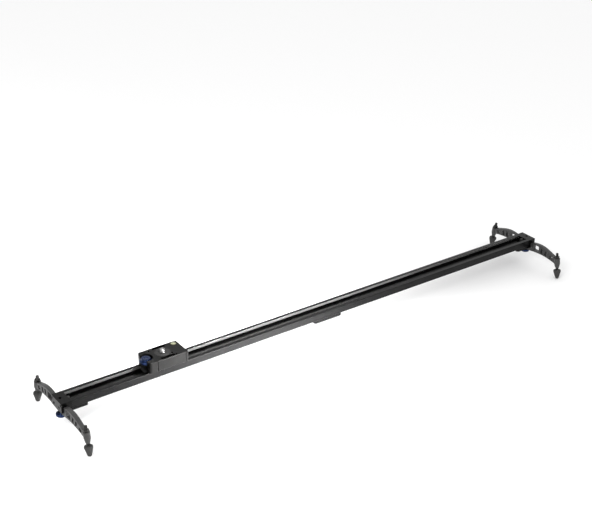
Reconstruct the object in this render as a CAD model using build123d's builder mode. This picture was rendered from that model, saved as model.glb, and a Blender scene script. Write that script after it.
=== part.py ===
"""Camera slider, 1.2 m class.

Millimetres. +X runs along the rail, +Y across it, +Z up. The origin is on the ground under the middle
of the rail. The carriage is drawn parked near the rail's -X end.
"""
from build123d import *
import os
from math import atan, cos, radians, sin

os.makedirs("parts", exist_ok=True)

# ---------------------------------------------------------------- driving dimensions
rail_half_length = 573.0
rail_width = 40.2
rail_bottom = 49.1
rail_top = 63.7
rail_edge_bevel = 0.8
channel_floor = 54.1
lip_bottom = 58.2
mouth_half_width = 12.0
undercut_half_width = 14.0
strip_thickness = 1.2
strip_bottom = 58.7
strip_height = 4.6

block_half_width = 20.0
block_end = 593.6
plate_bottom = 43.7
end_plate_inner = 540.0
middle_plate_bottom = 42.6
middle_plate_half_length = 34.0
plate_screw_y = 13.0

quarter_inch_thread = 6.35 / 2
three_eighths_thread = 9.525 / 2

arch_outer = 589.5
arch_inner = 580.8
arch_seat = 35.0
foot_x = 585.15
foot_y = 103.9
foot_splay = 8.5
leg_axis_x = 586.0

stud_radius = 3.0
running_clearance = 0.05
head_clearance = 0.2
through = 20.0
stand_up = (Align.CENTER, Align.CENTER, Align.MIN)
stand_on_line = (Align.CENTER, Align.MIN)
boss_radius = 6.5
boss_tip_radius = 4.2
cone_radius = 8.3
cone_tip_radius = 4.5

carriage_left = -416.0
carriage_right = -333.0
carriage_half_width = 24.0
carriage_bottom = 64.3
carriage_top = 86.2
left_cap_length = 13.0
right_cap_length = 4.0
camera_screw_x = -375.4
drag_axis_x = -411.0

roller_radius = 5.5
roller_gap = 0.15
roller_bottom = 59.0
roller_height = 4.0

sides = {"left": -1, "right": 1}
long_sides = {"front": -1, "rear": 1}


def save(piece, label):
    """Label a finished piece and write its STEP file."""
    piece.part.label = label
    export_step(piece.part, f"parts/{label}.step")


socket_share_of_head = 0.52
socket_share_of_height = 0.6


def socket_screws(seats, head_radius, head_height, shank_radius, shank_length):
    """Socket-head screws. Each seat is a plane under the head, facing the way the head stands."""
    with BuildPart() as screws:
        for seat in seats:
            with BuildSketch(seat):
                Circle(head_radius)
            extrude(amount=head_height)
            with BuildSketch(seat):
                Circle(shank_radius)
            extrude(amount=-shank_length)
            with BuildSketch(seat.offset(head_height)):
                RegularPolygon(radius=head_radius * socket_share_of_head, side_count=6)
            extrude(amount=-head_height * socket_share_of_height, mode=Mode.SUBTRACT)
    return screws


# ---------------------------------------------------------------- rail
port_radius = 1.5
port_depth = 18.0
port_places = [(-10.0, 51.6), (10.0, 51.6), (-17.1, 59.0), (17.1, 59.0)]
plate_screw_radius = 1.6
plate_screw_depth = 4.2
end_plate_screw_x = [547.0, 566.0]
middle_plate_screw_x = 27.0
plate_screw_places = [(x * sx, y) for x in end_plate_screw_x for sx in (-1, 1)
                      for y in (-plate_screw_y, plate_screw_y)]
plate_screw_places += [(x, y) for x in (-middle_plate_screw_x, middle_plate_screw_x)
                       for y in (-plate_screw_y, plate_screw_y)]

with BuildPart() as rail:
    with BuildSketch(Plane.YZ.offset(-rail_half_length)) as section:
        with Locations((0, (rail_bottom + rail_top) / 2)):
            Rectangle(rail_width, rail_top - rail_bottom)
        chamfer(section.vertices(), rail_edge_bevel)
        with Locations((0, channel_floor)):
            Rectangle(2 * undercut_half_width, lip_bottom - channel_floor,
                      align=stand_on_line, mode=Mode.SUBTRACT)
            Rectangle(2 * mouth_half_width, rail_top - channel_floor + 1,
                      align=stand_on_line, mode=Mode.SUBTRACT)
        with Locations((0, strip_bottom)):
            Rectangle(2 * (mouth_half_width + strip_thickness), strip_height,
                      align=stand_on_line, mode=Mode.SUBTRACT)
    extrude(amount=2 * rail_half_length)
    for side in sides.values():
        with BuildSketch(Plane.YZ.offset(side * rail_half_length)):
            with Locations(*port_places):
                Circle(port_radius)
        extrude(amount=-side * port_depth, mode=Mode.SUBTRACT)
    with BuildSketch(Plane.XY.offset(rail_bottom)):
        with Locations(*plate_screw_places):
            Circle(plate_screw_radius)
    extrude(amount=plate_screw_depth, mode=Mode.SUBTRACT)
save(rail, "rail")

# ---------------------------------------------------------------- guide strips
for name, across in long_sides.items():
    with BuildPart() as guide_strip:
        with BuildSketch(Plane.YZ.offset(-rail_half_length)):
            with Locations((across * (mouth_half_width + strip_thickness / 2), strip_bottom)):
                Rectangle(strip_thickness, strip_height, align=stand_on_line)
        extrude(amount=2 * rail_half_length)
    save(guide_strip, f"guide_strip_{name}")

# ---------------------------------------------------------------- end blocks, their screws and buffers
block_screw_head_radius = 2.75
block_screw_head_height = 3.0
block_screw_shank = 1.45
counterbore_depth = 3.6
screw_end_gap = 2.0
block_corner = 1.6
block_rim_bevel = 0.5
buffer_z = 58.6
buffer_radius = 3.6
buffer_length = 5.0
buffer_round = 1.2
buffer_stem_radius = 1.5
buffer_stem_length = 4.0

for name, side in sides.items():
    outer_face = Plane(origin=(side * block_end, 0, 0), x_dir=(0, 1, 0), z_dir=(side, 0, 0))
    face_places = [(y, side * z) for y, z in port_places]
    with BuildPart() as end_block:
        with BuildSketch(Plane.XY.offset(plate_bottom)):
            with Locations((side * (rail_half_length + block_end) / 2, 0)):
                Rectangle(block_end - rail_half_length, 2 * block_half_width)
        extrude(amount=rail_top - plate_bottom)
        outer_corners = end_block.edges().filter_by(Axis.Z).group_by(Axis.X)[-1 if side > 0 else 0]
        fillet(outer_corners, block_corner)
        outer_rim = end_block.faces().sort_by(Axis.X)[-1 if side > 0 else 0].edges()
        chamfer(outer_rim, block_rim_bevel)
        with BuildSketch(Plane.XY.offset(plate_bottom)):
            with Locations((side * leg_axis_x, 0)):
                Circle(stud_radius + running_clearance)
        extrude(amount=rail_top - plate_bottom, mode=Mode.SUBTRACT)
        with BuildSketch(outer_face):
            with Locations(*face_places):
                Circle(block_screw_head_radius + head_clearance)
        extrude(amount=-counterbore_depth, mode=Mode.SUBTRACT)
        with BuildSketch(outer_face):
            with Locations(*face_places):
                Circle(port_radius)
        extrude(amount=rail_half_length - block_end, mode=Mode.SUBTRACT)
        with BuildSketch(Plane.YZ.offset(side * rail_half_length)):
            with Locations((0, buffer_z)):
                Circle(buffer_stem_radius)
        extrude(amount=side * buffer_stem_length, mode=Mode.SUBTRACT)
    save(end_block, f"end_block_{name}")

    with BuildPart() as end_buffer:
        with BuildSketch(Plane.YZ.offset(side * rail_half_length)):
            with Locations((0, buffer_z)):
                Circle(buffer_radius)
        extrude(amount=-side * buffer_length)
        fillet(end_buffer.edges().sort_by(Axis.X)[0 if side > 0 else -1], buffer_round)
        with BuildSketch(Plane.YZ.offset(side * rail_half_length)):
            with Locations((0, buffer_z)):
                Circle(buffer_stem_radius)
        extrude(amount=side * buffer_stem_length)
    save(end_buffer, f"end_buffer_{name}")

head_seat_x = block_end - counterbore_depth
end_block_seats = [Plane(origin=(side * head_seat_x, y, z), z_dir=(side, 0, 0))
                   for side in sides.values() for y, z in port_places]
block_screw_length = head_seat_x - rail_half_length + port_depth - screw_end_gap
end_block_screws = socket_screws(end_block_seats, block_screw_head_radius, block_screw_head_height,
                                 block_screw_shank, block_screw_length)
save(end_block_screws, "end_block_screws")

# ---------------------------------------------------------------- mounting plates under the rail
plate_corner = 5.0
plate_bevel = 0.8
plate_head_sink = 0.2
plate_head_gap = 0.25
plate_shank_gap = 0.1
plate_socket_radius = 1.3
plate_socket_depth = 1.2
plate_screw_end_gap = 0.5
end_thread_x = 556.5
side_thread_x = 15.0
countersink_radius = 3.2

for name, side in sides.items():
    with BuildPart() as end_plate:
        with BuildSketch(Plane.XY.offset(plate_bottom)) as outline:
            with Locations((side * (end_plate_inner + rail_half_length) / 2, 0)):
                Rectangle(rail_half_length - end_plate_inner, 2 * block_half_width)
            fillet(outline.vertices().group_by(Axis.X)[0 if side > 0 else -1], plate_corner)
            with Locations((side * end_thread_x, 0)):
                Circle(quarter_inch_thread, mode=Mode.SUBTRACT)
        extrude(amount=rail_bottom - plate_bottom)
        with Locations(*[Location((side * x, y, plate_bottom), (180, 0, 0)) for x in end_plate_screw_x
                         for y in (-plate_screw_y, plate_screw_y)]):
            CounterSinkHole(plate_screw_radius, countersink_radius)
    save(end_plate, f"end_mount_plate_{name}")

with BuildPart() as middle_plate:
    with BuildSketch(Plane.XY.offset(middle_plate_bottom)):
        RectangleRounded(2 * middle_plate_half_length, 2 * block_half_width, plate_corner)
        Circle(three_eighths_thread, mode=Mode.SUBTRACT)
        with Locations((-side_thread_x, 0), (side_thread_x, 0)):
            Circle(quarter_inch_thread, mode=Mode.SUBTRACT)
    extrude(amount=rail_bottom - middle_plate_bottom)
    chamfer(middle_plate.faces().sort_by(Axis.Z)[0].outer_wire().edges(), plate_bevel)
    with Locations(*[Location((x, y, middle_plate_bottom), (180, 0, 0))
                     for x in (-middle_plate_screw_x, middle_plate_screw_x)
                     for y in (-plate_screw_y, plate_screw_y)]):
        CounterSinkHole(plate_screw_radius, countersink_radius)
save(middle_plate, "middle_mount_plate")

with BuildPart() as plate_screws:
    shank_radius = plate_screw_radius - plate_shank_gap
    for x, y in plate_screw_places:
        plate_face = plate_bottom if abs(x) > middle_plate_half_length else middle_plate_bottom
        head_z = plate_face + plate_head_sink
        with Locations((x, y, head_z)):
            Cone(countersink_radius - plate_head_gap, shank_radius, countersink_radius - plate_screw_radius,
                 align=stand_up)
            Cylinder(shank_radius, rail_bottom + plate_screw_depth - head_z - plate_screw_end_gap,
                     align=stand_up)
        with BuildSketch(Plane.XY.offset(head_z)):
            with Locations((x, y)):
                RegularPolygon(radius=plate_socket_radius, side_count=6)
        extrude(amount=plate_socket_depth, mode=Mode.SUBTRACT)
save(plate_screws, "mount_plate_screws")

# ---------------------------------------------------------------- leg arches
saddle_gap = 0.1
saddle_half_width = block_half_width + saddle_gap
arch_edge_round = 1.2
arch_straight_from = 70.0
boss_start = 26.0
boss_full = 35.5
boss_end = 48.0
spot_face_radius = 6.6
web_recess = 2.9
seat_half_width = 12.0
window_place = (36.5, 49.0)
window_size = (16.5, 13.5, 2.4)
tip_window_place = (81.5, 43.2)
tip_window_size = (9.5, 8.0, 1.8)
tip_window_tilt = 18
pocket_places = [(54.2, 48.0), (66.0, 46.8)]
pocket_sizes = [(6.2, 12.4, 1.6), (6.0, 11.0, 1.6)]
pocket_tilts = [6, 12]


def pair(across, place):
    """A place on the front or the rear half of an arch, mirrored from its (distance out, height)."""
    return (across * place[0], place[1])


def foot_plane(side, across):
    """A plane on the ground at a foot, with its normal up along the splayed axis of the stud."""
    lean = (0, -across * sin(radians(foot_splay)), cos(radians(foot_splay)))
    return Plane(origin=(side * foot_x, across * foot_y, 0), x_dir=(1, 0, 0), z_dir=lean)


for name, side in sides.items():
    web_plane = Plane.YZ.offset(side * arch_inner if side > 0 else -arch_outer)
    arch_depth = arch_outer - arch_inner
    with BuildPart() as arch:
        with BuildSketch(web_plane):
            with BuildLine():
                Line((0, arch_seat), (seat_half_width, arch_seat))
                Line((seat_half_width, arch_seat), (20, 35.8))
                ThreePointArc((20, 35.8), (48, 38.75), (99, 32.6))
                Line((99, 32.6), (97, 46.6))
                Line((97, 46.6), (70, 55.6))
                ThreePointArc((70, 55.6), (45, 59.65), (saddle_half_width, 55.6))
                Line((saddle_half_width, 55.6), (saddle_half_width, plate_bottom))
                Line((saddle_half_width, plate_bottom), (0, plate_bottom))
                Line((0, plate_bottom), (0, arch_seat))
            make_face()
            mirror(about=Plane.YZ)
        extrude(amount=arch_depth)
        beyond_saddle = arch.edges().filter_by(lambda edge: abs(edge.center().Y) > saddle_half_width + 1)
        fillet(beyond_saddle.filter_by(lambda edge: edge.geom_type == GeomType.CIRCLE
                                       or abs(edge.center().Y) > arch_straight_from), arch_edge_round)
        for across in long_sides.values():
            with BuildSketch(web_plane):
                with Locations(pair(across, window_place)):
                    RectangleRounded(*window_size)
                with Locations(pair(across, tip_window_place)):
                    RectangleRounded(*tip_window_size, rotation=-across * tip_window_tilt)
            extrude(amount=arch_depth, mode=Mode.SUBTRACT)
            for face, into in ((web_plane, 1), (web_plane.offset(arch_depth), -1)):
                with BuildSketch(face):
                    for place, size, tilt in zip(pocket_places, pocket_sizes, pocket_tilts):
                        with Locations(pair(across, place)):
                            RectangleRounded(*size, rotation=-across * tilt)
                extrude(amount=into * web_recess, mode=Mode.SUBTRACT)
            axis_plane = foot_plane(side, across)
            with BuildSketch(axis_plane.offset(boss_full)):
                Circle(boss_radius)
            extrude(amount=boss_end - boss_full)
            with BuildSketch(axis_plane.offset(boss_start)):
                Circle(boss_tip_radius)
            with BuildSketch(axis_plane.offset(boss_full)):
                Circle(boss_radius)
            loft()
            with BuildSketch(axis_plane.offset(boss_end)):
                Circle(spot_face_radius)
            extrude(amount=through, mode=Mode.SUBTRACT)
            with BuildSketch(axis_plane):
                Circle(stud_radius + running_clearance)
            extrude(amount=boss_end + through, mode=Mode.SUBTRACT)
        with BuildSketch(Plane.XY.offset(arch_seat - 1)):
            with Locations((side * leg_axis_x, 0)):
                Circle(stud_radius + running_clearance)
        extrude(amount=plate_bottom - arch_seat + 1, mode=Mode.SUBTRACT)
    save(arch, f"leg_arch_{name}")

# ---------------------------------------------------------------- leg knobs
leg_knob_radius = 10.0
leg_knob_top = 34.7
leg_knob_bottom = 27.2
leg_screw_top = 57.0
leg_grip_height = 5.6
leg_hub_radius = 7.0
leg_notches = 24
notch_radius = 1.0
notch_outset = 0.6
knob_thread_depth = 5.0
leg_screw_bevel = 0.8

for name, side in sides.items():
    with BuildPart() as leg_knob:
        with BuildSketch(Plane.XY.offset(leg_knob_bottom)):
            with Locations((side * leg_axis_x, 0)):
                Circle(leg_knob_radius)
                with PolarLocations(leg_knob_radius + notch_outset, leg_notches):
                    Circle(notch_radius, mode=Mode.SUBTRACT)
        extrude(amount=leg_grip_height)
        with BuildSketch(Plane.XY.offset(leg_knob_bottom + leg_grip_height)):
            with Locations((side * leg_axis_x, 0)):
                Circle(leg_hub_radius)
        extrude(amount=leg_knob_top - leg_knob_bottom - leg_grip_height)
        with BuildSketch(Plane.XY.offset(leg_knob_top)):
            with Locations((side * leg_axis_x, 0)):
                Circle(stud_radius)
        extrude(amount=-knob_thread_depth, mode=Mode.SUBTRACT)
    save(leg_knob, f"leg_knob_{name}")

    with BuildPart() as leg_screw:
        with BuildSketch(Plane.XY.offset(leg_knob_top - knob_thread_depth)):
            with Locations((side * leg_axis_x, 0)):
                Circle(stud_radius)
        extrude(amount=leg_screw_top - leg_knob_top + knob_thread_depth)
        chamfer(leg_screw.edges().sort_by(Axis.Z)[-1], leg_screw_bevel)
    save(leg_screw, f"leg_knob_screw_{name}")

# ---------------------------------------------------------------- feet: studs, cones, lock nuts
stud_start = 9.0
stud_end = 60.2
cone_top = 21.7
cone_shoulder = 18.6
cone_rim_inset = 2.4
stud_bevel = 0.7
nut_start = boss_end + 0.3
nut_height = 4.4
nut_across_corners = 11.2
tip_centre = cone_tip_radius / cos(radians(foot_splay))

for side_name, side in sides.items():
    for long_name, across in long_sides.items():
        place = f"{long_name}_{side_name}"
        axis_plane = foot_plane(side, across)
        side_plane = Plane(origin=axis_plane.origin, x_dir=(1, 0, 0), z_dir=-axis_plane.y_dir)
        cone_slope = atan((cone_radius - cone_tip_radius) / (cone_shoulder - tip_centre))
        touch = (cone_tip_radius * cos(cone_slope), tip_centre - cone_tip_radius * sin(cone_slope))
        mid_angle = radians(45) + cone_slope / 2
        tip_middle = (cone_tip_radius * cos(mid_angle), tip_centre - cone_tip_radius * sin(mid_angle))

        with BuildPart() as foot_cone:
            with BuildSketch(side_plane) as half_section:
                with BuildLine():
                    ThreePointArc((0, tip_centre - cone_tip_radius), tip_middle, touch)
                    Line(touch, (cone_radius, cone_shoulder))
                    ThreePointArc((cone_radius, cone_shoulder), (cone_radius - 0.6, cone_top - 0.9),
                                  (cone_radius - cone_rim_inset, cone_top))
                    Line((cone_radius - cone_rim_inset, cone_top), (stud_radius, cone_top))
                    Line((stud_radius, cone_top), (stud_radius, stud_start))
                    Line((stud_radius, stud_start), (0, stud_start))
                    Line((0, stud_start), (0, tip_centre - cone_tip_radius))
                make_face()
            revolve(axis=Axis(axis_plane.origin, axis_plane.z_dir))
        save(foot_cone, f"foot_cone_{place}")

        with BuildPart() as foot_stud:
            with BuildSketch(axis_plane.offset(stud_start)):
                Circle(stud_radius)
            extrude(amount=stud_end - stud_start)
            chamfer(foot_stud.edges().sort_by(Axis.Z)[-1], stud_bevel)
        save(foot_stud, f"foot_stud_{place}")

        with BuildPart() as lock_nut:
            with BuildSketch(axis_plane.offset(nut_start)):
                RegularPolygon(radius=nut_across_corners / 2, side_count=6)
                Circle(stud_radius + running_clearance, mode=Mode.SUBTRACT)
            extrude(amount=nut_height)
        save(lock_nut, f"lock_nut_{place}")

# ---------------------------------------------------------------- carriage body and end caps
guide_left = -415.5
guide_right = -338.5
guide_recess = 2.0
knob_pocket_radius = 13.3
knob_pocket_floor = 76.0
body_left = carriage_left + left_cap_length
body_right = carriage_right - right_cap_length
pad_radius = 15.0
pad_recess = 0.9
pad_proud = 0.3
level_place = (-343.2, 15.3)
level_radius = 5.6
level_floor = 80.2
tapped_holes = [(-361.6, -11.4), (-356.6, -19.2), (-395.7, 16.2)]
tapped_radius = 2.0
tapped_depth = 6.5
slot_middle_x = -374.5
slot_length = 30.0
slot_width = 7.0
slot_y = 18.9
slot_depth = 5.0
camera_screw_start = 75.0
camera_screw_root = 4.6
roller_x = [-398.0, -346.0]
roller_y = mouth_half_width - roller_gap - roller_radius
axle_places = [(x, y) for x in roller_x for y in (-roller_y, roller_y)]
axle_thread_radius = 2.0
axle_top = 73.0
cap_screw_y = 17.6
cap_screw_z = 71.5
cap_thread_depth = 15.0
cap_screw_head_height = 2.6
right_counterbore_depth = 3.0
top_edge_round = 1.2
left_cap_corner = 5.0
right_cap_corner = 3.5
side_groove_depth = 0.9
side_grooves = [(body_left, 5.0), (body_right - 4.0, 4.0)]
bottom_edge_bevel = 0.6
guide_slot_width = 2 * mouth_half_width - 1.6

with BuildPart() as carriage_body:
    with BuildSketch(Plane.XY.offset(carriage_bottom)):
        with Locations(((body_left + body_right) / 2, 0)):
            Rectangle(body_right - body_left, 2 * carriage_half_width)
    extrude(amount=carriage_top - carriage_bottom)
    long_edges = carriage_body.edges().filter_by(Axis.X)
    fillet(long_edges.group_by(Axis.Z)[-1], top_edge_round)
    chamfer(long_edges.group_by(Axis.Z)[0], bottom_edge_bevel)
    for groove_start, groove_length in side_grooves:
        with BuildSketch(Plane.XY.offset(carriage_bottom)):
            with Locations((groove_start, -carriage_half_width), (groove_start, carriage_half_width)):
                Rectangle(groove_length, 2 * side_groove_depth, align=(Align.MIN, Align.CENTER))
        extrude(amount=carriage_top - carriage_bottom, mode=Mode.SUBTRACT)
    with BuildSketch(Plane.XY.offset(knob_pocket_floor)):
        with Locations((drag_axis_x, 0)):
            Circle(knob_pocket_radius)
    extrude(amount=through, mode=Mode.SUBTRACT)
    with BuildSketch(Plane.XY.offset(carriage_bottom)):
        with Locations(((guide_left + guide_right) / 2, 0)):
            Rectangle(guide_right - guide_left, guide_slot_width)
    extrude(amount=guide_recess, mode=Mode.SUBTRACT)
    with BuildSketch(Plane.XY.offset(carriage_top - pad_recess)):
        with Locations((camera_screw_x, 0)):
            Circle(pad_radius)
    extrude(amount=pad_recess, mode=Mode.SUBTRACT)
    with BuildSketch(Plane.XY.offset(camera_screw_start)):
        with Locations((camera_screw_x, 0)):
            Circle(camera_screw_root)
    extrude(amount=through, mode=Mode.SUBTRACT)
    with BuildSketch(Plane.XY.offset(level_floor)):
        with Locations(level_place):
            Circle(level_radius)
    extrude(amount=through, mode=Mode.SUBTRACT)
    with BuildSketch(Plane.XY.offset(carriage_top)):
        with Locations((slot_middle_x, -slot_y), (slot_middle_x, slot_y)):
            SlotOverall(slot_length, slot_width)
    extrude(amount=-slot_depth, mode=Mode.SUBTRACT)
    with BuildSketch(Plane.XY.offset(carriage_top)):
        with Locations(*tapped_holes):
            Circle(tapped_radius)
    extrude(amount=-tapped_depth, mode=Mode.SUBTRACT)
    with BuildSketch(Plane.XY.offset(carriage_bottom)):
        with Locations(*axle_places):
            Circle(axle_thread_radius)
    extrude(amount=axle_top - carriage_bottom, mode=Mode.SUBTRACT)
    for end_x, into in ((body_left, 1), (body_right, -1)):
        with BuildSketch(Plane.YZ.offset(end_x)):
            with Locations((-cap_screw_y, cap_screw_z), (cap_screw_y, cap_screw_z)):
                Circle(port_radius)
        extrude(amount=into * cap_thread_depth, mode=Mode.SUBTRACT)
save(carriage_body, "carriage_body")

with BuildPart() as left_cap:
    with BuildSketch(Plane.XY.offset(carriage_bottom)):
        with Locations(((carriage_left + body_left) / 2, 0)):
            Rectangle(left_cap_length, 2 * carriage_half_width)
    extrude(amount=carriage_top - carriage_bottom)
    fillet(left_cap.edges().filter_by(Axis.Z).group_by(Axis.X)[0], left_cap_corner)
    left_rim = left_cap.faces().sort_by(Axis.Z)[-1].edges()
    fillet(left_rim.filter_by(lambda edge: edge.center().X < body_left - 0.1), top_edge_round)
    with BuildSketch(Plane.XY.offset(knob_pocket_floor)):
        with Locations((drag_axis_x, 0)):
            Circle(knob_pocket_radius)
    extrude(amount=through, mode=Mode.SUBTRACT)
    with BuildSketch(Plane.XY.offset(carriage_bottom)):
        with Locations(((guide_left + body_left) / 2, 0)):
            Rectangle(body_left - guide_left, guide_slot_width)
    extrude(amount=guide_recess, mode=Mode.SUBTRACT)
    with BuildSketch(Plane.XY.offset(carriage_bottom)):
        with Locations((drag_axis_x, 0)):
            Circle(stud_radius + running_clearance)
    extrude(amount=through, mode=Mode.SUBTRACT)
    with BuildSketch(Plane.YZ.offset(carriage_left)):
        with Locations((-cap_screw_y, cap_screw_z), (cap_screw_y, cap_screw_z)):
            Circle(block_screw_head_radius + head_clearance)
    extrude(amount=counterbore_depth, mode=Mode.SUBTRACT)
    with BuildSketch(Plane.YZ.offset(carriage_left)):
        with Locations((-cap_screw_y, cap_screw_z), (cap_screw_y, cap_screw_z)):
            Circle(port_radius)
    extrude(amount=left_cap_length, mode=Mode.SUBTRACT)
save(left_cap, "carriage_cap_left")

with BuildPart() as right_cap:
    with BuildSketch(Plane.XY.offset(carriage_bottom)):
        with Locations(((carriage_right + body_right) / 2, 0)):
            Rectangle(right_cap_length, 2 * carriage_half_width)
    extrude(amount=carriage_top - carriage_bottom)
    fillet(right_cap.edges().filter_by(Axis.Z).group_by(Axis.X)[-1], right_cap_corner)
    right_rim = right_cap.faces().sort_by(Axis.Z)[-1].edges()
    fillet(right_rim.filter_by(lambda edge: edge.center().X > body_right + 0.1), top_edge_round)
    with BuildSketch(Plane.YZ.offset(carriage_right)):
        with Locations((-cap_screw_y, cap_screw_z), (cap_screw_y, cap_screw_z)):
            Circle(block_screw_head_radius + head_clearance)
    extrude(amount=-right_counterbore_depth, mode=Mode.SUBTRACT)
    with BuildSketch(Plane.YZ.offset(carriage_right)):
        with Locations((-cap_screw_y, cap_screw_z), (cap_screw_y, cap_screw_z)):
            Circle(port_radius)
    extrude(amount=-right_cap_length, mode=Mode.SUBTRACT)
save(right_cap, "carriage_cap_right")

seat_ends = [(carriage_left + counterbore_depth, -1), (carriage_right - right_counterbore_depth, 1)]
cap_seats = [Plane(origin=(x, y, cap_screw_z), z_dir=(side, 0, 0))
             for x, side in seat_ends for y in (-cap_screw_y, cap_screw_y)]
cap_screws = socket_screws(cap_seats, block_screw_head_radius, cap_screw_head_height,
                           block_screw_shank, cap_thread_depth)
save(cap_screws, "carriage_cap_screws")

# ---------------------------------------------------------------- guide block, axles and rollers
guide_bottom = 55.2
wing_top = 57.7
wing_half_width = 13.2
guide_half_width = mouth_half_width - 0.8
shoe_radius = 3.5
axle_radius = 2.5
axle_head_radius = 3.4
axle_head_height = 1.8
shoe_bottom = 55.0
shoe_height = 2.0
shoe_gap = 0.4
shoe_recess = 2.6
roller_pocket_gap = 0.3
roller_slot_gap = 0.8
axle_head_gap = 0.2
axle_head_sink = 0.3
axle_socket_radius = 1.6
axle_socket_depth = 1.2
axle_end_gap = 1.0
roller_bevel = 0.3

with BuildPart() as guide_block:
    with BuildSketch(Plane.YZ.offset(guide_left)):
        with Locations((0, guide_bottom)):
            Rectangle(2 * wing_half_width, wing_top - guide_bottom, align=stand_on_line)
            Rectangle(2 * guide_half_width, carriage_bottom + guide_recess - guide_bottom,
                      align=stand_on_line)
    extrude(amount=guide_right - guide_left)
    with BuildSketch(Plane.XY.offset(roller_bottom - roller_pocket_gap)):
        with Locations(*[(x, 0) for x in roller_x]):
            Rectangle(2 * (roller_radius + roller_slot_gap), 3 * guide_half_width)
    extrude(amount=roller_height + 2 * roller_pocket_gap, mode=Mode.SUBTRACT)
    with BuildSketch(Plane.XY.offset(guide_bottom)):
        with Locations(*axle_places):
            Circle(axle_head_radius + axle_head_gap)
    extrude(amount=axle_head_height + axle_head_sink, mode=Mode.SUBTRACT)
    with BuildSketch(Plane.XY.offset(guide_bottom)):
        with Locations(*axle_places):
            Circle(axle_radius)
    extrude(amount=roller_bottom + roller_height + roller_pocket_gap - guide_bottom, mode=Mode.SUBTRACT)
    with BuildSketch(Plane.XY.offset(guide_bottom)):
        with Locations(*axle_places):
            Circle(axle_thread_radius)
    extrude(amount=through, mode=Mode.SUBTRACT)
    with BuildSketch(Plane.XY.offset(guide_bottom)):
        with Locations((drag_axis_x, 0)):
            Circle(shoe_radius + shoe_gap)
    extrude(amount=shoe_recess, mode=Mode.SUBTRACT)
    with BuildSketch(Plane.XY.offset(guide_bottom)):
        with Locations((drag_axis_x, 0)):
            Circle(stud_radius + running_clearance)
    extrude(amount=through, mode=Mode.SUBTRACT)
save(guide_block, "guide_block")

with BuildPart() as axles:
    for x, y in axle_places:
        with Locations((x, y, guide_bottom + axle_head_sink)):
            Cylinder(axle_head_radius, axle_head_height, align=stand_up)
            Cylinder(axle_radius, roller_bottom + roller_height - guide_bottom,
                     align=stand_up)
            Cylinder(axle_thread_radius, axle_top - guide_bottom - axle_head_sink - axle_end_gap,
                     align=stand_up)
        with BuildSketch(Plane.XY.offset(guide_bottom + axle_head_sink)):
            with Locations((x, y)):
                RegularPolygon(radius=axle_socket_radius, side_count=6)
        extrude(amount=axle_socket_depth, mode=Mode.SUBTRACT)
save(axles, "roller_axles")

for x_name, x in zip(("left", "right"), roller_x):
    for long_name, across in long_sides.items():
        with BuildPart() as roller:
            with BuildSketch(Plane.XY.offset(roller_bottom)):
                with Locations((x, across * roller_y)):
                    Circle(roller_radius)
                    Circle(axle_radius + running_clearance, mode=Mode.SUBTRACT)
            extrude(amount=roller_height)
            rims = roller.edges().filter_by(GeomType.CIRCLE)
            chamfer(rims.filter_by(lambda edge: edge.radius > axle_radius + 1), roller_bevel)
        save(roller, f"roller_{long_name}_{x_name}")

# ---------------------------------------------------------------- camera screw, its pad, and the bubble level
camera_screw_end = 93.8
camera_screw_dome = 1.6
pad_hole_gap = 0.8
pad_round = 0.25
level_wall = 1.2
level_base = 1.0
level_rim_proud = 0.7
level_rim_round = 0.4
vial_proud = 0.8
vial_round = 0.7
pad_top = carriage_top + pad_proud

with BuildPart() as camera_screw:
    with BuildSketch(Plane.XY.offset(camera_screw_start)):
        with Locations((camera_screw_x, 0)):
            Circle(camera_screw_root)
    extrude(amount=pad_top - camera_screw_start)
    with BuildSketch(Plane.XY.offset(pad_top)):
        with Locations((camera_screw_x, 0)):
            Circle(three_eighths_thread)
    extrude(amount=camera_screw_end - pad_top)
    fillet(camera_screw.edges().sort_by(Axis.Z)[-1], camera_screw_dome)
save(camera_screw, "camera_screw")

with BuildPart() as camera_pad:
    with BuildSketch(Plane.XY.offset(carriage_top - pad_recess)):
        with Locations((camera_screw_x, 0)):
            Circle(pad_radius)
            Circle(three_eighths_thread + pad_hole_gap, mode=Mode.SUBTRACT)
    extrude(amount=pad_recess + pad_proud)
    top_rims = camera_pad.edges().filter_by(GeomType.CIRCLE).group_by(Axis.Z)[-1]
    fillet(top_rims.sort_by(SortBy.RADIUS)[-1], pad_round)
save(camera_pad, "camera_pad")

with BuildPart() as level_housing:
    with BuildSketch(Plane.XY.offset(level_floor)):
        with Locations(level_place):
            Circle(level_radius)
    extrude(amount=carriage_top + level_rim_proud - level_floor)
    fillet(level_housing.edges().sort_by(Axis.Z)[-1], level_rim_round)
    with BuildSketch(Plane.XY.offset(level_floor + level_base)):
        with Locations(level_place):
            Circle(level_radius - level_wall)
    extrude(amount=through, mode=Mode.SUBTRACT)
save(level_housing, "level_housing")

with BuildPart() as level_vial:
    with BuildSketch(Plane.XY.offset(level_floor + level_base)):
        with Locations(level_place):
            Circle(level_radius - level_wall)
    extrude(amount=carriage_top + vial_proud - level_floor - level_base)
    fillet(level_vial.edges().sort_by(Axis.Z)[-1], vial_round)
save(level_vial, "level_vial")

# ---------------------------------------------------------------- drag knob, its screw and the brake shoe
drag_knob_radius = 12.5
drag_hub_radius = 9.2
drag_knob_bottom = 76.4
drag_flange_top = 81.4
drag_hub_top = 85.6
drag_notches = 30
drag_hub_taper = 6
drag_screw_start = shoe_bottom + shoe_height + 0.3

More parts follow.
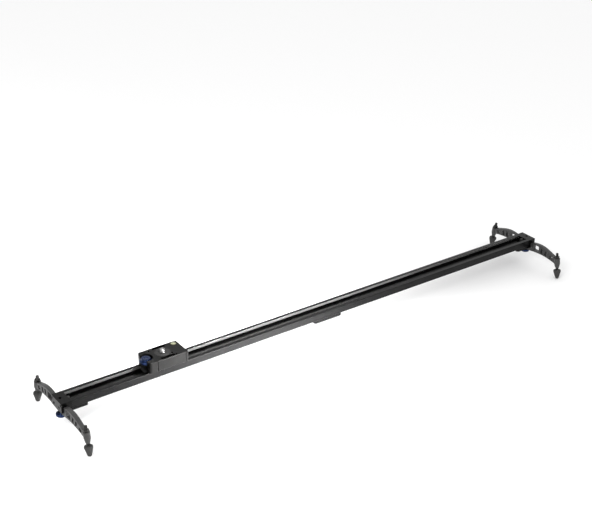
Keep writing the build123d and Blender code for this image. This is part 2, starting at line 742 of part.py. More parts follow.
with BuildPart() as drag_knob:
    with BuildSketch(Plane.XY.offset(drag_knob_bottom)):
        with Locations((drag_axis_x, 0)):
            Circle(drag_knob_radius)
            with PolarLocations(drag_knob_radius + notch_outset, drag_notches):
                Circle(notch_radius, mode=Mode.SUBTRACT)
    extrude(amount=drag_flange_top - drag_knob_bottom)
    with BuildSketch(Plane.XY.offset(drag_flange_top)):
        with Locations((drag_axis_x, 0)):
            Circle(drag_hub_radius)
    extrude(amount=drag_hub_top - drag_flange_top, taper=drag_hub_taper)
    with BuildSketch(Plane.XY.offset(drag_knob_bottom)):
        with Locations((drag_axis_x, 0)):
            Circle(stud_radius)
    extrude(amount=knob_thread_depth, mode=Mode.SUBTRACT)
save(drag_knob, "drag_knob")

with BuildPart() as drag_screw:
    with BuildSketch(Plane.XY.offset(drag_screw_start)):
        with Locations((drag_axis_x, 0)):
            Circle(stud_radius)
    extrude(amount=drag_knob_bottom + knob_thread_depth - drag_screw_start)
save(drag_screw, "drag_screw")

with BuildPart() as brake_shoe:
    with BuildSketch(Plane.XY.offset(shoe_bottom)):
        with Locations((drag_axis_x, 0)):
            Circle(shoe_radius)
    extrude(amount=shoe_height)
save(brake_shoe, "brake_shoe")
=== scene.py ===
"""A 1.2 m camera slider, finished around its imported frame. Metres, +X along the rail, +Z up."""
import math
import bmesh
import bpy
import numpy as np
from mathutils import Matrix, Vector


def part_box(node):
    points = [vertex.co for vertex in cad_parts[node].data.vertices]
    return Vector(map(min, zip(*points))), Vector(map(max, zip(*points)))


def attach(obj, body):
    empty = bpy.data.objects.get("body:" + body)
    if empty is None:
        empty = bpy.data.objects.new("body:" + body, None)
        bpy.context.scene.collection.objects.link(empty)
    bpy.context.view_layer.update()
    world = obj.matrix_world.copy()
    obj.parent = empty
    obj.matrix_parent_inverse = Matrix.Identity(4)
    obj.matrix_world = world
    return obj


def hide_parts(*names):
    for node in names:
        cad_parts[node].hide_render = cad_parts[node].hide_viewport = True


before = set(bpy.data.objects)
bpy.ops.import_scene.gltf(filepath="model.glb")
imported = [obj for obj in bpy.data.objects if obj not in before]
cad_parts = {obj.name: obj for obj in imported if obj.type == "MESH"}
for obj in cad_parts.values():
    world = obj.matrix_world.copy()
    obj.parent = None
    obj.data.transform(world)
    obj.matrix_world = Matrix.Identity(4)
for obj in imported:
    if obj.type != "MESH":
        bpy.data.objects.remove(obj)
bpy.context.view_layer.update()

# ------------------------------------------------------------------ rail
# One length of aluminium, pushed through a die as a channel with inward lips, sawn off square and dyed
# black by anodising. Its corners are rounded by the die. Everything else is screwed to it.


class Signal:
    """One value inside a finish: a node's output socket, which sums, differences and products are
    written with."""

    def __init__(self, tree, socket=None):
        self.tree = tree
        self.socket = socket

    def node(self, kind, settings=None, sockets=None, output=0):
        """Adds a node, gives it its settings, then the values or the signals of its sockets."""
        made = self.tree.nodes.new(kind)
        for name, value in (settings or {}).items():
            setattr(made, name, value)
        for name, value in (sockets or {}).items():
            if isinstance(value, Signal):
                self.tree.links.new(value.socket, made.inputs[name])
            else:
                made.inputs[name].default_value = value
        return Signal(self.tree, made.outputs[output])

    def worked(self, operation, first, second):
        return self.node("ShaderNodeMath", {"operation": operation}, {0: first, 1: second})

    def __add__(self, other):
        return self.worked("ADD", self, other)

    def __radd__(self, other):
        return self.worked("ADD", other, self)

    def __sub__(self, other):
        return self.worked("SUBTRACT", self, other)

    def __rsub__(self, other):
        return self.worked("SUBTRACT", other, self)

    def __mul__(self, other):
        return self.worked("MULTIPLY", self, other)

    def __rmul__(self, other):
        return self.worked("MULTIPLY", other, self)

    def into(self, socket):
        self.tree.links.new(self.socket, socket)


class Finish:
    """A material under way. Its uniform values are set at once, and what varies is fed in as signals."""

    def __init__(self, name, **fixed):
        self.material = bpy.data.materials.new(name)
        self.material.use_nodes = True
        self.tree = self.material.node_tree
        self.shader = self.tree.nodes["Principled BSDF"]
        for socket, value in fixed.items():
            self.shader.inputs[socket.replace("_", " ")].default_value = value
        self.start = Signal(self.tree)
        self.place = self.start.node("ShaderNodeTexCoord", output="Object")

    def grain(self, scale, detail=3.0, stretch=(1, 1, 1), turn=(0, 0, 0)):
        """Noise about 1/scale metres across, drawn out by a small stretch, as values around 0."""
        laid = self.start.node("ShaderNodeMapping", None,
                               {"Vector": self.place, "Scale": stretch, "Rotation": turn})
        sockets = {"Vector": laid, "Scale": scale, "Detail": detail, "Roughness": 0.6}
        return self.start.node("ShaderNodeTexNoise", None, sockets) - 0.5

    def steps(self, signal, low, high):
        """0 where the signal is under low, 1 where it is over high, and smooth between."""
        sockets = {"Value": signal, "From Min": low, "From Max": high}
        return self.start.node("ShaderNodeMapRange", {"interpolation_type": "SMOOTHSTEP"}, sockets)

    def colours(self, amount, first, second):
        """The first colour at 0 and the second at 1."""
        factor, first_colour, second_colour, mixed_colour = 0, 6, 7, 2
        sockets = {factor: amount, first_colour: (*first, 1), second_colour: (*second, 1)}
        return self.start.node("ShaderNodeMix", {"data_type": "RGBA"}, sockets, mixed_colour)

    def feed(self, **signals):
        """Leads signals into the shader's sockets."""
        for socket, signal in signals.items():
            signal.into(self.shader.inputs[socket.replace("_", " ")])
        return self

    def relief(self, height, depth, strength=1.0):
        """A bump of that depth in metres, from a signal about 1 high."""
        bump = self.start.node("ShaderNodeBump", None,
                               {"Strength": strength, "Distance": depth, "Height": height})
        return self.feed(Normal=bump)


def black_anodised(name, dark, light, rough, stretch):
    """Dyed anodised aluminium: dark satin metal, lighter along its drawn lines, with a little dust."""
    finish = Finish(name, Metallic=1.0)
    lines = finish.grain(420.0, 3.0, stretch)
    clouds = finish.grain(34.0, 4.0)
    specks = finish.steps(finish.grain(1900.0, 2.0), 0.19, 0.26)
    finish.feed(
        Base_Color=finish.colours(lines * 0.9 + clouds * 0.8 + specks * 0.5 + 0.4, dark, light),
        Roughness=lines * 0.16 + clouds * 0.16 + specks * 0.2 + rough,
    )
    return finish.relief(lines + specks * 0.4, 0.00003, 0.5).material


def rounded_outline(corners, radius, steps=5):
    """Each corner becomes a curve between the points a radius away on its two sides: a quadratic blend
    of first side, corner and second side, (1-t)^2, 2t(1-t) and t^2."""
    corners = np.array(corners, float)
    back = np.roll(corners, 1, axis=0) - corners
    ahead = np.roll(corners, -1, axis=0) - corners
    back /= np.linalg.norm(back, axis=1, keepdims=True)
    ahead /= np.linalg.norm(ahead, axis=1, keepdims=True)
    t = np.linspace(0, 1, steps)[None, :, None]
    first = (corners + back * radius)[:, None, :]
    second = (corners + ahead * radius)[:, None, :]
    middle = corners[:, None, :]
    return ((1 - t) ** 2 * first + 2 * t * (1 - t) * middle + t ** 2 * second).reshape(-1, 2)


def drawn_along_x(outline, start, end, runs=2):
    """The outline's (y, z) carried along X from start to end: rows are places along X."""
    x = np.linspace(start, end, runs)
    grid = np.empty((runs, len(outline), 3))
    grid[:, :, 0] = x[:, None]
    grid[:, :, 1:] = outline[None]
    return grid


def add_piece(name, grids, finish, body, slot, *stands_for, crease=35):
    """Puts closed surfaces into one mesh. Each grid is rows of points that go round. A grid whose last row
    comes back to its first is a ring, and any other is closed by a flat face at each end. Shading follows
    the larger faces, so that flats stay flat beside rounded edges."""
    points, faces, first = [], [], 0
    for grid in grids:
        rows, around = grid.shape[:2]
        ring = np.allclose(grid[0], grid[-1])
        kept = rows - 1 if ring else rows
        index = first + np.arange(kept * around).reshape(kept, around)
        if ring:
            index = np.vstack([index, index[:1]])
        beside = np.roll(index, -1, axis=1)
        faces += np.stack([index[:-1], beside[:-1], beside[1:], index[1:]], axis=-1).reshape(-1, 4).tolist()
        if not ring:
            faces += [index[0, ::-1].tolist(), index[-1].tolist()]
        points.append(grid[:kept].reshape(-1, 3))
        first += kept * around
    mesh = bpy.data.meshes.new(name)
    mesh.from_pydata(np.concatenate(points).tolist(), [], faces)
    mesh.shade_smooth()
    mesh.set_sharp_from_angle(angle=math.radians(crease))
    mesh.materials.append(finish)
    piece = bpy.data.objects.new(name, mesh)
    bpy.context.scene.collection.objects.link(piece)
    even = piece.modifiers.new("even_shading", "WEIGHTED_NORMAL")
    even.keep_sharp = True
    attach(piece, body)
    if stands_for:
        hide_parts(*stands_for)
    return piece


rail_low, rail_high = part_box("rail")
strip_low, strip_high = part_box("guide_strip_rear")
channel_floor = 0.0541
lip_bottom = 0.0582
undercut = 0.0140
half = rail_high.y
mouth = strip_low.y
strip_back = strip_high.y
rail_corners = [
    (-half, rail_low.z), (half, rail_low.z), (half, rail_high.z), (mouth, rail_high.z),
    (mouth, strip_high.z), (strip_back, strip_high.z), (strip_back, strip_low.z), (mouth, strip_low.z),
    (mouth, lip_bottom), (undercut, lip_bottom), (undercut, channel_floor),
    (-undercut, channel_floor), (-undercut, lip_bottom), (-mouth, lip_bottom),
    (-mouth, strip_low.z), (-strip_back, strip_low.z), (-strip_back, strip_high.z), (-mouth, strip_high.z),
    (-mouth, rail_high.z), (-half, rail_high.z),
]
outer_round = 0.0011
inner_round = 0.00016
corner_rounds = np.full((len(rail_corners), 1), inner_round)
corner_rounds[[0, 1, 2, -1]] = outer_round
rail_outline = rounded_outline(rail_corners, corner_rounds)
rail_finish = black_anodised("rail_finish", (0.012, 0.012, 0.0125), (0.025, 0.0245, 0.024),
                             rough=0.30, stretch=(0.02, 1, 1))
add_piece("rail_extrusion", [drawn_along_x(rail_outline, rail_low.x, rail_high.x, 40)], rail_finish,
          "rail_frame", "rail_anodised", "rail")

# ------------------------------------------------------------------ guide strips
# Two strips of hardened steel are pressed into the lips' inner edges, and the rollers run on them. They are
# ground and polished lengthwise.


def ground_steel(name, shade, rough, scale, stretch):
    """Bare steel: bright, with grinding lines that stretch draws out, and faint stains between them."""
    finish = Finish(name, Metallic=1.0)
    lines = finish.grain(scale, 3.0, stretch)
    stains = finish.grain(60.0, 4.0)
    dull = tuple(0.8 * part for part in shade)
    finish.feed(
        Base_Color=finish.colours(lines * 0.7 + stains * 0.4 + 0.3, shade, dull),
        Roughness=lines * 0.12 + stains * 0.1 + rough,
    )
    return finish.relief(lines, 0.000003, 0.3).material


strip_finish = ground_steel("strip_finish", (0.62, 0.62, 0.61), 0.40, 900.0, (0.01, 1, 1))
strip_round = 0.0002
for long_side, across in (("front", -1), ("rear", 1)):
    inner, outer = sorted((across * mouth, across * strip_back))
    strip_corners = [(inner, strip_low.z), (outer, strip_low.z), (outer, strip_high.z), (inner, strip_high.z)]
    strip_grid = drawn_along_x(rounded_outline(strip_corners, strip_round), strip_low.x, strip_high.x, 24)
    add_piece(f"polished_strip_{long_side}", [strip_grid], strip_finish, "rail_frame", "polished_steel",
              f"guide_strip_{long_side}")

# ------------------------------------------------------------------ end blocks, buffers and their screws
# A sawn and drilled block of the same black aluminium closes each end of the rail, held by four socket
# screws into the rail's ports. A rubber buffer is pushed into each, to stop the carriage.


def softened(node, width, finish, body, name):
    """A copy of a CAD piece: its loose triangles are joined, flat faces made whole, and every sharp edge
    is rounded by width."""
    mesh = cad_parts[node].data.copy()
    work = bmesh.new()
    work.from_mesh(mesh)
    bmesh.ops.remove_doubles(work, verts=work.verts, dist=0.000002)
    bmesh.ops.dissolve_limit(work, angle_limit=math.radians(0.5), verts=work.verts, edges=work.edges)
    work.to_mesh(mesh)
    work.free()
    mesh.shade_smooth()
    mesh.set_sharp_from_angle(angle=math.radians(30))
    mesh.materials.clear()
    mesh.materials.append(finish)
    piece = bpy.data.objects.new(name, mesh)
    bpy.context.scene.collection.objects.link(piece)
    rounding = piece.modifiers.new("rounded_edges", "BEVEL")
    rounding.width = width
    rounding.segments = 2
    rounding.limit_method = "ANGLE"
    rounding.angle_limit = math.radians(35)
    rounding.harden_normals = True
    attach(piece, body)
    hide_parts(node)
    return piece


def turned(profile, around=64, factor=1.0):
    """A lathe shape about +Z. Each (radius, height) of the profile goes once round, and factor multiplies
    the radius at each angle, so a hexagon or a knurl can be turned as well."""
    angle = np.linspace(0, 2 * np.pi, around, endpoint=False)
    profile = np.array(profile, float)
    radius = profile[:, :1] * factor
    grid = np.empty((len(profile), around, 3))
    grid[:, :, 0] = radius * np.cos(angle)
    grid[:, :, 1] = radius * np.sin(angle)
    grid[:, :, 2] = profile[:, 1:]
    return grid


def stood(grid, origin, axis):
    """A shape made about +Z, stood at origin along axis."""
    axis = np.array(axis, float) / np.linalg.norm(axis)
    helper = np.array([1.0, 0, 0]) if abs(axis[0]) < 0.9 else np.array([0, 1.0, 0])
    side = np.cross(helper, axis)
    side /= np.linalg.norm(side)
    up = np.cross(axis, side)
    return grid[..., :1] * side + grid[..., 1:2] * up + grid[..., 2:] * axis + np.array(origin, float)


def hexagon(around):
    """How far a hexagon's edge is from its middle at each angle, where a corner is 1."""
    angle = np.linspace(0, 2 * np.pi, around, endpoint=False)
    from_flat = np.mod(angle, np.pi / 3) - np.pi / 6
    return math.cos(math.pi / 6) / np.cos(from_flat)


def socket_screw(head, height, socket, shank, length, around=72):
    """A socket-head screw with its seat at height 0. The head's wall is knurled by a cosine, and the
    recess is a hexagon that goes three fifths of the way down the head."""
    edge = 0.07 * head
    knurl = 1 - 0.018 * (1 + np.cos(36 * np.linspace(0, 2 * np.pi, around, endpoint=False)))
    recess = hexagon(around)
    deep = 0.4 * height
    rows = [
        (0.7 * shank, -length, 1), (shank, -length + 0.3 * shank, 1), (shank, 0, 1), (head * 0.97, 0, 1),
        (head, edge, knurl), (head, height - 2 * edge, knurl), (head * 0.985, height - 1.4 * edge, 1),
        (head * 0.93, height, 1), (socket * 1.12, height, 1),
        (socket * 1.02, height - 0.08 * head, recess), (socket, height - 0.12 * head, recess),
        (socket, deep, recess),
        (socket * 0.5, deep - 0.15 * socket, 1), (0.02 * socket, deep - 0.25 * socket, 1),
    ]
    factor = np.stack([np.broadcast_to(row[2], around) for row in rows])
    return turned([row[:2] for row in rows], around, factor)


block_finish = black_anodised("block_finish", (0.008, 0.008, 0.008), (0.020, 0.0195, 0.019),
                              rough=0.36, stretch=(1, 1, 0.25))
screw_finish = Finish("black_oxide_steel", Metallic=0.9)
oil = screw_finish.grain(700.0, 4.0)
screw_finish.feed(
    Base_Color=screw_finish.colours(oil * 1.2 + 0.45, (0.018, 0.018, 0.020), (0.075, 0.072, 0.070)),
    Roughness=oil * 0.25 + 0.36,
)
screw_finish.relief(oil, 0.00002, 0.5)
black_screw = screw_finish.material


def rubber(name, dark, light, rough, pitting):
    """Moulded rubber: dark, faintly mottled, dusty on a fine pitted skin."""
    finish = Finish(name, Specular_IOR_Level=0.3)
    skin = finish.grain(pitting, 4.0)
    mottle = finish.grain(70.0, 4.0)
    dust = finish.steps(finish.grain(520.0, 5.0), 0.06, 0.30)
    finish.feed(
        Base_Color=finish.colours(mottle * 0.9 + dust * 0.35 + skin * 0.3 + 0.3, dark, light),
        Roughness=mottle * 0.12 + dust * 0.12 + rough,
    )
    return finish.relief(skin, 0.00006, 0.6).material


buffer_finish = rubber("buffer_rubber", (0.016, 0.016, 0.016), (0.045, 0.044, 0.042), 0.66, 2600.0)
socket_share = 0.52
block_head = 0.00275
block_head_height = 0.0030
block_shank = 0.00145
port_places = [(-0.0100, 0.0516), (0.0100, 0.0516), (-0.0171, 0.0590), (0.0171, 0.0590)]
for end_name, end in (("left", -1), ("right", 1)):
    softened(f"end_block_{end_name}", 0.00035, block_finish, "rail_frame",
             f"finished_end_block_{end_name}")
    buffer_low, buffer_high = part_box(f"end_buffer_{end_name}")
    root, tip = (buffer_low.x, buffer_high.x) if end < 0 else (buffer_high.x, buffer_low.x)
    buffer_middle = (buffer_low.z + buffer_high.z) / 2
    buffer_radius = (buffer_high.z - buffer_low.z) / 2
    reach = abs(tip - root)
    stem = 0.0015
    stem_length = 0.0040
    dome = np.linspace(0, math.pi / 2, 9)
    cap = [(buffer_radius * (0.62 + 0.38 * math.cos(a)), reach - 0.0012 * (1 - math.sin(a))) for a in dome]
    buffer_profile = [(stem, 0), (stem, stem_length), (buffer_radius, stem_length), *cap, (0.0010, reach),
                      (0.0008, reach - 0.0006)]
    buffer_grid = stood(turned(buffer_profile, 48), (root, 0, buffer_middle), (-end, 0, 0))
    add_piece(f"rubber_buffer_{end_name}", [buffer_grid], buffer_finish, "rail_frame", "buffer_rubber",
              f"end_buffer_{end_name}")

block_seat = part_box("end_block_screws")[1].x - block_head_height
block_screw_length = 0.0305
block_screw = socket_screw(block_head, block_head_height, socket_share * block_head, block_shank,
                           block_screw_length)
add_piece("end_block_socket_screws",
          [stood(block_screw, (end * block_seat, y, z), (end, 0, 0)) for end in (-1, 1)
           for y, z in port_places],
          black_screw, "rail_frame", "black_screw_steel", "end_block_screws")

# ------------------------------------------------------------------ mounting plates
# Flat plates of black aluminium are screwed under the rail at its middle and ends. Each is milled, drilled
# for tripod threads, and held by countersunk screws.
plate_finish = black_anodised("plate_finish", (0.010, 0.010, 0.0105), (0.022, 0.0215, 0.021),
                              rough=0.36, stretch=(0.15, 1, 1))
for plate in ("end_mount_plate_left", "end_mount_plate_right", "middle_mount_plate"):
    softened(plate, 0.0003, plate_finish, "rail_frame", f"finished_{plate}")


def countersunk_screw(head, neck, socket, length, around=48):
    """A flat-head screw that drives upwards: its face at height 0 with a hexagonal recess, a cone to the
    neck, and a plain shank."""
    deep = 0.0012
    recess = hexagon(around)
    rows = [
        (0.1 * socket, deep + 0.2 * socket, 1), (socket, deep, recess), (socket, 0.0001, recess),
        (socket * 1.08, 0, 1), (head * 0.96, 0, 1), (head, 0.0001, 1), (neck, head - neck, 1),
        (neck, length - 0.0004, 1), (neck * 0.7, length, 1),
    ]
    factor = np.stack([np.broadcast_to(row[2], around) for row in rows])
    return turned([row[:2] for row in rows], around, factor)


plate_screw_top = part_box("mount_plate_screws")[1].z
flat_head = 0.00295
flat_neck = 0.0015
flat_socket = 0.0013
plate_screw_y = 0.013
middle_screw_x = 0.027
end_screw_x = (0.547, 0.566)
head_sink = 0.0002
plate_screws = []
for x in (middle_screw_x, *end_screw_x):
    plate = "middle_mount_plate" if x == middle_screw_x else "end_mount_plate_right"
    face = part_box(plate)[0].z + head_sink
    shape = countersunk_screw(flat_head, flat_neck, flat_socket, plate_screw_top - face)
    plate_screws += [stood(shape, (end * x, y, face), (0, 0, 1)) for end in (-1, 1)
                     for y in (-plate_screw_y, plate_screw_y)]
add_piece("countersunk_plate_screws", plate_screws, black_screw, "rail_frame", "black_screw_steel",
          "mount_plate_screws")

# ------------------------------------------------------------------ leg arches
# Each leg is one arched aluminium casting, bent over the end block, with windows and pockets to save weight
# and a boss for the foot at each tip. It is shot blasted and painted a dark satin grey.
cast_finish = Finish("cast_leg_finish", Specular_IOR_Level=0.45, Metallic=0.15)
orange_peel = cast_finish.grain(1500.0, 3.0)
cast_clouds = cast_finish.grain(45.0, 4.0)
cast_dust = cast_finish.steps(cast_finish.grain(380.0, 5.0), 0.10, 0.32)
cast_finish.feed(
    Base_Color=cast_finish.colours(orange_peel * 0.6 + cast_clouds * 0.9 + cast_dust * 0.4 + 0.35,
                                   (0.020, 0.020, 0.021), (0.062, 0.060, 0.058)),
    Roughness=orange_peel * 0.25 + cast_clouds * 0.15 + cast_dust * 0.15 + 0.44,
)
cast_finish.relief(orange_peel + cast_dust * 0.3, 0.00008, 0.8)
for end_name in ("left", "right"):
    softened(f"leg_arch_{end_name}", 0.00045, cast_finish.material, "rail_frame",
             f"cast_leg_{end_name}")

# ------------------------------------------------------------------ leg knobs
# A round blue knob under each end block clamps the leg. It is turned from aluminium bar, with a fluted
# grip, a bevel at each rim, and a black steel screw pressed in.


def blue_anodised(name, centre):
    """Blue-dyed anodised aluminium: metal seen through a deep dye, with lathe rings about centre."""
    finish = Finish(name, Metallic=1.0, Coat_Weight=0.2, Coat_Roughness=0.12)
    moved = (-centre[0], -centre[1], 0)
    about = finish.start.node("ShaderNodeMapping", None,
                              {"Vector": finish.place, "Location": moved, "Scale": (1, 1, 0)})
    distance = finish.start.node("ShaderNodeVectorMath", {"operation": "LENGTH"}, {0: about}, "Value")
    rings = finish.start.node("ShaderNodeTexNoise", {"noise_dimensions": "1D"},
                              {"W": distance, "Scale": 3800.0, "Detail": 2.0}) - 0.5
    dye = finish.grain(120.0, 4.0)
    finish.feed(
        Base_Color=finish.colours(rings * 0.5 + dye * 1.1 + 0.45,
                                  (0.008, 0.016, 0.050), (0.018, 0.038, 0.120)),
        Roughness=rings * 0.14 + dye * 0.12 + 0.27,
    )
    return finish.relief(rings, 0.00002, 0.4).material


def fluted(around, flutes, depth):
    """A grip's edge: the radius factor falls from 1 by depth times the fourth power of a sine, whose humps
    are the flutes."""
    angle = np.linspace(0, 2 * np.pi, around, endpoint=False)
    return 1 - depth * np.sin(flutes * angle / 2) ** 4


def thread(radius, depth, pitch, start, end, around=36, rows_per_pitch=6, lead=0.0007):
    """A screw thread about +Z. The radius falls from its crest by a clipped triangle wave of height/pitch
    less one turn per revolution, and both ends are cut to a cone."""
    rows = int(round((end - start) / pitch * rows_per_pitch)) + 1
    height = np.linspace(start, end, rows)[:, None]
    angle = np.linspace(0, 2 * np.pi, around, endpoint=False)[None]
    phase = np.mod(height / pitch - angle / (2 * np.pi), 1.0)
    groove = np.clip(1.5 * np.abs(2 * phase - 1) - 0.2, 0, 1)
    end_cone = radius - lead + np.minimum(np.minimum(height - start, end - height), lead)
    crest = np.minimum(radius - depth * groove, end_cone)
    return np.stack([crest * np.cos(angle), crest * np.sin(angle), np.broadcast_to(height, crest.shape)],
                    axis=-1)


leg_flutes = 24
around_grip = 240
leg_grip_height = 0.0056
flute_depth = 0.045
pressed_depth = 0.0050
m6_radius = 0.0030
m6_depth = 0.00055
m6_pitch = 0.0010
for end_name in ("left", "right"):
    knob_low, knob_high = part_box(f"leg_knob_{end_name}")
    knob_x = (knob_low.x + knob_high.x) / 2
    grip = (knob_high.x - knob_low.x) / 2
    base, top = knob_low.z, knob_high.z
    shoulder = base + leg_grip_height
    hub = 0.0070
    grip_factor = fluted(around_grip, leg_flutes, flute_depth)
    part_factor = fluted(around_grip, leg_flutes, flute_depth * 0.5)
    knob_rows = [
        (0.0006, base + 0.0012, 1), (0.0034, base + 0.0010, 1), (0.0040, base + 0.0005, 1),
        (0.0052, base + 0.0005, 1), (0.0056, base, 1), (grip - 0.0014, base, 1),
        (grip - 0.0010, base + 0.0001, 1), (grip - 0.0003, base + 0.0008, part_factor),
        (grip, base + 0.0012, grip_factor), (grip, shoulder - 0.0012, grip_factor),
        (grip - 0.0003, shoulder - 0.0007, part_factor), (grip - 0.0009, shoulder - 0.0001, 1),
        (grip - 0.0013, shoulder, 1), (hub + 0.0002, shoulder, 1), (hub, shoulder + 0.0002, 1),
        (hub, top - 0.0004, 1), (hub - 0.0004, top, 1), (m6_radius, top, 1),
        (m6_radius, top - pressed_depth, 1), (0.0003, top - pressed_depth, 1),
    ]
    knob_factor = np.stack([np.broadcast_to(row[2], around_grip) for row in knob_rows])
    knob_grid = turned([row[:2] for row in knob_rows], around_grip, knob_factor)
    knob_blue = blue_anodised(f"blue_leg_knob_{end_name}", (knob_x, 0))
    add_piece(f"fluted_leg_knob_{end_name}", [stood(knob_grid, (knob_x, 0, 0), (0, 0, 1))], knob_blue,
              f"leg_knob_{end_name}", "blue_anodised", f"leg_knob_{end_name}")
    leg_screw_low, leg_screw_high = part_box(f"leg_knob_screw_{end_name}")
    screw_thread = thread(m6_radius, m6_depth, m6_pitch, leg_screw_low.z, leg_screw_high.z)
    add_piece(f"threaded_leg_screw_{end_name}", [stood(screw_thread, (knob_x, 0, 0), (0, 0, 1))], black_screw,
              f"leg_knob_{end_name}", "black_screw_steel", f"leg_knob_screw_{end_name}")

# ------------------------------------------------------------------ feet
# Each foot is a rubber cone moulded on a threaded steel stud that screws through the leg's boss, splayed
# outwards. A hexagon nut on top locks it.
foot_x = 0.58515
foot_y = 0.1039
splay = math.radians(8.5)
cone_radius = 0.0083
cone_tip = 0.0045
cone_shoulder = 0.0186
cone_top = 0.0217
stud_start = 0.0090
stud_end = 0.0602
nut_start = 0.0483
nut_end = 0.0527
nut_corner = 0.0056
nut_bore = 0.00306
foot_rubber = rubber("foot_rubber", (0.018, 0.018, 0.018), (0.056, 0.054, 0.052), 0.62, 2100.0)
stud_finish = ground_steel("dark_plated_stud", (0.050, 0.049, 0.048), 0.36, 500.0, (1, 1, 1))
nut_finish = ground_steel("dark_plated_nut", (0.042, 0.041, 0.040), 0.38, 600.0, (1, 1, 1))

tip_centre = cone_tip / math.cos(splay)
slope = math.atan2(cone_radius - cone_tip, cone_shoulder - tip_centre)
bowl = np.linspace(math.radians(4), math.pi / 2 - slope, 12)
tip_rows = [(cone_tip * math.sin(a), tip_centre - cone_tip * math.cos(a)) for a in bowl]
wall = np.linspace(0, 1, 9)[1:]
wall_rows = [(tip_rows[-1][0] + t * (cone_radius - tip_rows[-1][0]),
              tip_rows[-1][1] + t * (cone_shoulder - 0.0012 - tip_rows[-1][1])) for t in wall]
lip = np.linspace(0, math.pi / 2, 9)
lip_rows = [(cone_radius - 0.0020 * (1 - math.cos(a)), cone_shoulder + 0.0004 + 0.0021 * math.sin(a))
            for a in lip]
stud_bore = m6_radius + 0.00005
cup_rows = [(0.0050, cone_top - 0.0002), (0.0046, cone_top), (0.0040, cone_top - 0.0001),
            (stud_bore, cone_top - 0.0007), (stud_bore, stud_start), (0.0002, stud_start)]
groove_radius = cone_radius - 0.00035
groove_rows = [(groove_radius, cone_shoulder - 0.0008), (groove_radius, cone_shoulder - 0.0002)]
cone_profile = tip_rows + wall_rows + groove_rows + lip_rows + cup_rows

nut_around = 96
nut_flat = nut_corner * math.cos(math.pi / 6)
chamfer_steps = np.linspace(0, 1, 7)
chamfer_deep = 0.0009
bore_chamfer = 0.0003
face_radius = nut_flat * 0.97
low_limit = face_radius + (nut_corner - face_radius) * chamfer_steps
nut_hex = nut_corner * hexagon(nut_around)
nut_radius = np.concatenate([np.full((1, nut_around), nut_bore + bore_chamfer),
                             np.minimum(nut_hex[None], low_limit[:, None]),
                             np.minimum(nut_hex[None], low_limit[::-1, None]),
                             np.full((4, nut_around), nut_bore)])
nut_radius[-4] = nut_bore + bore_chamfer
nut_radius[-1] = nut_bore + bore_chamfer
nut_height = np.concatenate([[nut_start], nut_start + chamfer_deep * chamfer_steps,
                             nut_end - chamfer_deep * chamfer_steps[::-1],
                             [nut_end, nut_end - bore_chamfer, nut_start + bore_chamfer, nut_start]])
nut_angle = np.linspace(0, 2 * np.pi, nut_around, endpoint=False)
nut_shape = np.stack([nut_radius * np.cos(nut_angle), nut_radius * np.sin(nut_angle),
                      np.broadcast_to(nut_height[:, None], nut_radius.shape)], axis=-1)
for end_name, end in (("left", -1), ("right", 1)):
    for long_side, across in (("front", -1), ("rear", 1)):
        spot = (end * foot_x, across * foot_y, 0)
        lean = (0, -across * math.sin(splay), math.cos(splay))
        foot = f"{long_side}_{end_name}"
        add_piece(f"rubber_foot_{foot}", [stood(turned(cone_profile, 72), spot, lean)], foot_rubber,
                  f"foot_{foot}", "foot_rubber", f"foot_cone_{foot}")
        stud_grid = thread(m6_radius, m6_depth, m6_pitch, stud_start, stud_end)
        add_piece(f"threaded_stud_{foot}", [stood(stud_grid, spot, lean)], stud_finish,
                  f"foot_{foot}", "stud_steel", f"foot_stud_{foot}")
        add_piece(f"hex_lock_nut_{foot}", [stood(nut_shape, spot, lean)], nut_finish,
                  f"lock_nut_{foot}", "stud_steel", f"lock_nut_{foot}")

# ------------------------------------------------------------------ guide block, axles and rollers
# Inside the channel a block of black acetal carries four small ball bearings on upright screws. Their rims
# run on the steel strips.
acetal = Finish("black_acetal", Specular_IOR_Level=0.4)
mill_marks = acetal.grain(800.0, 3.0, (0.2, 1, 1))
acetal.feed(
    Base_Color=acetal.colours(mill_marks + 0.4, (0.014, 0.014, 0.015), (0.034, 0.034, 0.035)),
    Roughness=mill_marks * 0.2 + 0.46,
)
acetal.relief(mill_marks, 0.00003, 0.5)
softened("guide_block", 0.00025, acetal.material, "carriage", "acetal_guide_block")

